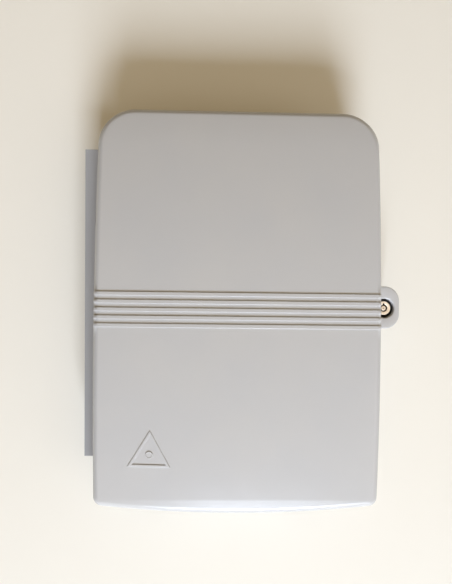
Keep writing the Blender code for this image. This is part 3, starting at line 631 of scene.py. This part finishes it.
def lock_barrel():
    bore = 4.0
    mouth = 3.2
    stem = 6.0
    flange = WELL_FLOOR + FLANGE_GAP
    profile = [(bore, 31), (stem - 0.3, 31), (stem, 31.3), (stem, flange)]
    profile += [(7.4, flange), (7.7, flange + 0.3), (7.7, flange + 1.0), (7.5, flange + 1.2)]
    profile.append((stem, flange + 1.2))
    profile += [(stem - inset, LOCK_FRONT - drop) for inset, drop in quarter(0.45, 4)]
    profile += [(mouth + 0.3, LOCK_FRONT), (mouth + 0.1, LOCK_FRONT - 0.1)]
    profile += [(mouth, LOCK_FRONT - 0.3), (mouth, 43), (bore, 43)]
    rows = []
    for radius, depth in profile:
        row = ring(radius, depth)
        if radius < bore and depth > flange + 1.5:
            row = [keyed(point) for point in row]
        rows.append(row)
    return loft(rows, closed=True)


def lock_seal():
    rows = [ring(6.3, 44.8), ring(7.9, 44.8), ring(8.1, 45.0), ring(8.1, 46.1)]
    rows += [ring(8.1 - inset, 46.6 - drop) for inset, drop in quarter(0.5, 4)]
    rows += [ring(6.5, 46.6), ring(6.3, 46.4)]
    return loft(rows, closed=True)


def lock_plug():
    """The plug, from its threaded end to the post that the tubular key fits over."""
    top = cad_box("lock_plug")[1][1]
    post = 2.1
    rows = [ring(1.7, 34), ring(1.7, 28.8), ring(3.0, 28.8), ring(3.0, 30.7), ring(3.7, 30.7)]
    rows += [ring(3.7, 40), ring(post, 40)]
    rows += [ring(post - inset, top - drop) for inset, drop in quarter(0.3, 3)]
    rows += [ring(0.8, top), ring(0.6, top - 0.2)]
    return loft(rows)


def make_lock(materials):
    at = (LOCK_X, 0, LOCK_Z)
    piece("lock_barrel_face", solid(lock_barrel(), at=at), materials["brass"],
          "cover", "brass", "lock_barrel")
    piece("lock_seal_ring", solid(lock_seal(), at=at), materials["rubber"],
          "cover", "rubber", "lock_seal")
    piece("lock_plug_post", solid(lock_plug(), at=at), materials["brass"],
          "lock", "brass", "lock_plug")


# ---------------------------------------------------------------- cable glands
def gland_collar():
    """The gland's body: thread below the wall, hexagonal collar, and thread for the locknut."""
    rows = [ring(6.1, -9.3), ring(6.3, -9.5), ring(8.7, -9.5), ring(8.9, -9.3), ring(8.9, -4.2)]
    rows += [nut_ring(24, 12.4, -4.2), nut_ring(24, 13.4, -3.5), nut_ring(24, 13.4, -1.0)]
    rows += [nut_ring(24, 12.4, -PAD_GAP), ring(9.9, -PAD_GAP)]
    for turn in range(9):
        low = 9.2 + 0.6 * turn
        rows += [ring(9.9, low), ring(9.45, low + 0.3)]
    rows += [ring(9.9, 14.6), ring(9.7, 14.8), ring(6.3, 14.8), ring(6.1, 14.6)]
    return rows


def gland_cap():
    """The cap nut under the collar, with fluted shoulders that round off to its mouth."""
    rows = [ring(9.2, -4.5), nut_ring(23, 12.0, -4.5), nut_ring(23, 13.0, -5.1)]
    rows += [nut_ring(23, 13.0, -9.6), nut_ring(23, 11.6, -10.5)]
    rows += [fluted_ring(11.3, 0.0, -10.5), fluted_ring(11.1, 0.3, -11.2)]
    rows += [fluted_ring(10.5, 0.4, -12.4), fluted_ring(9.6, 0.3, -13.5), ring(8.8, -14.1)]
    rows += [ring(8.4, -14.2), ring(6.9, -14.2), ring(6.6, -13.9), ring(6.6, -12.4)]
    rows.append(ring(9.2, -10.6))
    return rows


def gland_locknut(low):
    rows = [ring(10.2, low), nut_ring(27, 14.2, low), nut_ring(27, 15.2, low + 0.7)]
    rows += [nut_ring(27, 15.2, low + 3.9), nut_ring(27, 14.2, low + 4.6), ring(10.2, low + 4.6)]
    return rows


def make_glands(materials):
    for side, name in ((-1, "left"), (1, "right")):
        at = (side * GLAND_X, GLAND_DEPTH, PAD_LOW)
        locknut_low = cad_box("gland_locknut_" + name)[0][2] - PAD_LOW
        parts = (("gland_collar_", "gland_body_", gland_collar()),
                 ("gland_cap_", "gland_nut_", gland_cap()),
                 ("gland_ring_", "gland_locknut_", gland_locknut(locknut_low)))
        for made, node, rows in parts:
            piece(made + name, solid(loft(rows, closed=True), "up", at), materials["black"],
                  "housing", "black", node + name)


# ---------------------------------------------------------------- CAD pieces that show as they are
def soften(node, width):
    """Rounds a CAD piece's sharp edges a little, by modifiers alone."""
    made = frame["nodes"][node]
    weld = made.modifiers.new("weld", "WELD")
    weld.merge_threshold = 0.00001
    bevel = made.modifiers.new("bevel", "BEVEL")
    bevel.width = width * MM
    bevel.segments = 2
    bevel.limit_method = "ANGLE"
    bevel.angle_limit = math.radians(SHARP_ABOVE)
    bevel.use_clamp_overlap = True
    bevel.harden_normals = True


def dress_cad_nodes(materials):
    """Materials and softened edges for the CAD pieces that nothing here replaces."""
    slots = {row["node"]: row["material_slot"] for row in frame["record"]["subparts"]}
    widths = {"grey_base": 0.4, "grey_rail": 0.45, "grey_inner": 0.3, "white_inner": 0.3,
              "green": 0.3, "clear_cap": 0.3, "clear_lid": 0.25}
    for node, made in frame["nodes"].items():
        if made.hide_render:
            continue
        made.data.materials.clear()
        made.data.materials.append(materials[slots[node]])
        if slots[node] in widths:
            soften(node, widths[slots[node]])


# ---------------------------------------------------------------- wall, floor, light and camera
def plane(name, half_x, half_y, at, turned, material):
    """A flat piece of the room, in metres."""
    shape = bmesh.new()
    bmesh.ops.create_grid(shape, x_segments=1, y_segments=1, size=1.0)
    mesh = bpy.data.meshes.new(name)
    shape.to_mesh(mesh)
    shape.free()
    mesh.materials.append(material)
    made = bpy.data.objects.new(name, mesh)
    made.scale = (half_x, half_y, 1)
    made.location = at
    made.rotation_euler = turned
    bpy.context.scene.collection.objects.link(made)


def painted(name, color):
    nodes = Finish(name)
    cloudy = nodes.between(nodes.noise(3.0), 0.0, 1.0)
    nodes.color(nodes.blend(cloudy, color, shade(color, 0.985)))
    nodes.bump(nodes.noise(350.0), 0.15, 0.3)
    nodes.fixed(roughness=0.85)
    return nodes


def front_only(nodes):
    """Lets the wall be seen from the room alone, so that the box's back can be looked at.

    A ray that starts on the box's back, just in front of the wall, goes through as well.
    """
    near = nodes.add("ShaderNodeMath", operation="LESS_THAN")
    near.inputs[1].default_value = THROUGH_WALL
    nodes.link(nodes.add("ShaderNodeLightPath").outputs["Ray Length"], near.inputs[0])
    either = nodes.add("ShaderNodeMath", operation="MAXIMUM")
    nodes.link(nodes.add("ShaderNodeNewGeometry").outputs["Backfacing"], either.inputs[0])
    nodes.link(near.outputs["Value"], either.inputs[1])
    clear = nodes.add("ShaderNodeBsdfTransparent")
    mix = nodes.add("ShaderNodeMixShader")
    nodes.link(either.outputs["Value"], mix.inputs["Fac"])
    nodes.link(nodes.shader.outputs["BSDF"], mix.inputs[1])
    nodes.link(clear.outputs["BSDF"], mix.inputs[2])
    output = nodes.tree.nodes["Material Output"]
    nodes.link(mix.outputs["Shader"], output.inputs["Surface"])


def area_light(name, at, size, watts, color, target=(0, 0, 0)):
    data = bpy.data.lights.new(name, "AREA")
    data.shape = "RECTANGLE"
    data.size, data.size_y = size
    data.energy = watts
    data.color = color
    made = bpy.data.objects.new(name, data)
    made.location = at
    made.rotation_euler = (Vector(target) - Vector(at)).to_track_quat("-Z", "Y").to_euler()
    bpy.context.scene.collection.objects.link(made)


def make_world():
    """Soft light from all round: warmer and dimmer above, strongest in front of the wall.

    Light from behind the wall reaches only the box's back, and the camera sees a plain pale room.
    """
    world = bpy.data.worlds.new("studio")
    bpy.context.scene.world = world
    world.use_nodes = True
    nodes = Nodes(world.node_tree)
    background = nodes.tree.nodes["Background"]
    direction = nodes.add("ShaderNodeTexCoord").outputs["Generated"]
    split = nodes.split(direction)
    upward = nodes.ramp(split["Z"], -0.3, 0.45)
    behind = nodes.ramp(split["Y"], 0.0, 0.3)
    color = nodes.blend(upward, (0.62, 0.53, 0.40), (0.32, 0.225, 0.095))
    color = nodes.blend(behind, color, (0.80, 0.80, 0.78))
    nodes.link(color, background.inputs["Color"])

    toward = nodes.add("ShaderNodeVectorMath", operation="DOT_PRODUCT")
    toward.inputs[1].default_value = (0.25, -0.97, 0.0)
    nodes.link(direction, toward.inputs[0])
    front = nodes.ramp(toward.outputs["Value"], 0.3, 1.0, 0.08, 1.75)
    strength = nodes.add("ShaderNodeMath", operation="ADD")
    nodes.link(front, strength.inputs[0])
    nodes.link(behind, strength.inputs[1])
    nodes.link(strength.outputs["Value"], background.inputs["Strength"])

    pale = nodes.add("ShaderNodeBackground")
    pale.inputs["Color"].default_value = (0.74, 0.71, 0.66, 1.0)
    seen = nodes.add("ShaderNodeMixShader")
    nodes.link(nodes.add("ShaderNodeLightPath").outputs["Is Camera Ray"], seen.inputs["Fac"])
    nodes.link(background.outputs["Background"], seen.inputs[1])
    nodes.link(pale.outputs["Background"], seen.inputs[2])
    nodes.link(seen.outputs["Shader"], nodes.tree.nodes["World Output"].inputs["Surface"])


def make_room():
    wall = painted("wall_paint", (0.738, 0.706, 0.635))
    front_only(wall)
    plane("wall", 4.0, 3.0, (0, WALL_Y, -0.3), (math.pi / 2, 0, 0), wall.material)
    floor = painted("floor_paint", (0.82, 0.82, 0.82))
    plane("floor", 4.0, 3.0, (0, -1.2, FLOOR_Z), (0, 0, 0), floor.material)


def make_lights():
    """A large cool lamp low in front casts the shadow above the box; two weak ones fill it."""
    area_light("key", (0.30, -1.80, -3.05), size=(1.3, 1.9), watts=286.0,
               color=(0.72, 0.80, 0.93), target=(0, 0, 0.02))
    area_light("fill", (1.3, -1.4, -0.7), size=(0.8, 0.8), watts=2.0, color=(1.0, 1.0, 1.0))
    area_light("ceiling_lamp", (0.12, -0.9, 1.5), size=(0.1, 0.1), watts=0.25,
               color=(1.0, 0.95, 0.85))


def make_camera():
    """A wide lens close to the box, a little left of its middle and nearly level."""
    data = bpy.data.cameras.new("camera")
    data.lens = 29.59
    data.sensor_width = 36.0
    data.clip_start = 0.02
    data.clip_end = 20.0
    camera = bpy.data.objects.new("camera", data)
    camera.location = Vector((-19.75, -468.53, 8.19)) * MM
    camera.rotation_euler = [math.radians(angle) for angle in (91.055, -0.664, -1.389)]
    bpy.context.scene.collection.objects.link(camera)
    bpy.context.scene.camera = camera


materials = make_materials()
make_cover(materials)
make_lock(materials)
make_glands(materials)
dress_cad_nodes(materials)
make_room()
make_world()
make_lights()
make_camera()
bpy.context.scene.view_settings.view_transform = "Standard"
